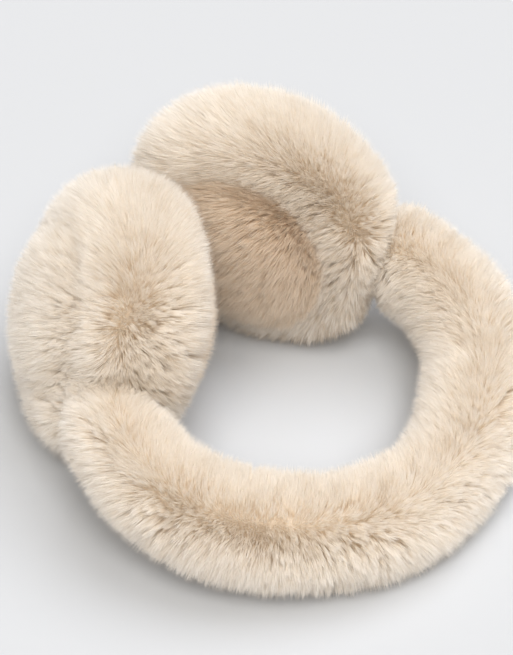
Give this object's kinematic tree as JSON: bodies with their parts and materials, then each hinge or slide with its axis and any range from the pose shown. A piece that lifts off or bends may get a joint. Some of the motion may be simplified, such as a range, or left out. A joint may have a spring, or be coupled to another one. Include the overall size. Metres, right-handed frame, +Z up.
{
  "type": "fur earmuffs",
  "caption": "Plush fur earmuffs lying on their side: round padded ear pads on a thick padded fur headband",
  "frame": {"origin": "under the middle of the whole, on the surface that the earmuffs lie on", "axes": "+Z up from that surface, +Y from the headband's crown to the ear pads' free ends, left pad at -X"},
  "size_m": [0.198, 0.2108, 0.1062],
  "materials": {
    "headband_fur": "cream-beige plush fur",
    "pad_fur": "cream plush fur",
    "inner_fur": "beige plush fur"
  },
  "bodies": {
    "root": {"headband_fur": "headband_fur", "left_outer_panel": "pad_fur", "left_gusset": "pad_fur", "left_inner_panel": "inner_fur", "right_outer_panel": "pad_fur", "right_gusset": "pad_fur", "right_inner_panel": "inner_fur"}
  },
  "joints": []
}
